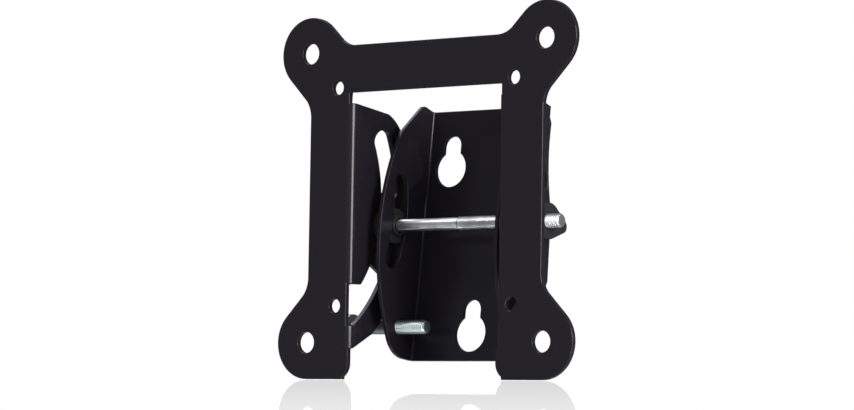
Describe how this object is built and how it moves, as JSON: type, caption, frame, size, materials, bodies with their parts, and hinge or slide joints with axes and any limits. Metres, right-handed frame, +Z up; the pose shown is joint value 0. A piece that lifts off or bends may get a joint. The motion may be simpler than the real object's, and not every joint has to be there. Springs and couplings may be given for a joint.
{
  "type": "tilting tv wall mount",
  "caption": "Small tilting screen wall mount: a folded screen plate with four round ears tilts on arc slots in a folded keyhole wall bracket.",
  "frame": {"origin": "the middle of the wall bracket's back face, where it meets the wall", "axes": "+X to the right seen from the screen side, +Y into the wall, +Z up; the screen plate leans 7.2 degrees forward as shown"},
  "size_m": [0.1252, 0.0427, 0.1244],
  "materials": {
    "bracket_black": "satin black powder coat",
    "plate_black": "satin black powder coat",
    "zinc_bolt": "bright zinc plate",
    "zinc_lock": "bright zinc plate",
    "zinc_small": "zinc plate",
    "nylon_black": "matt moulded nylon",
    "knob_black": "fine-grained moulded plastic"
  },
  "bodies": {
    "wall_bracket": {"wall_bracket": "bracket_black"},
    "tilting_plate": {"screen_plate": "plate_black", "tilt_bolt": "zinc_bolt", "left_bush": "nylon_black", "right_bush": "nylon_black", "knob_washer": "zinc_small"},
    "knob": {"wing_knob": "knob_black", "knob_nut": "zinc_small"},
    "lock_bolt": {"lock_bolt": "zinc_lock"}
  },
  "joints": [
    {"name": "tilt", "type": "hinge", "parent": "wall_bracket", "child": "tilting_plate", "pos_m": [0, -0.063, 0.0043], "axis": [1, 0, 0], "range_deg": [-14.2, 12.8]},
    {"name": "knob_turn", "type": "hinge", "parent": "tilting_plate", "child": "knob", "pos_m": [0.0365, -0.01511, 0.00112], "axis": [1, 0, 0], "continuous": true},
    {"name": "lock_bolt_screw", "type": "slide", "parent": "wall_bracket", "child": "lock_bolt", "axis": [1, 0, 0], "range_m": [0, 0.0113]}
  ]
}
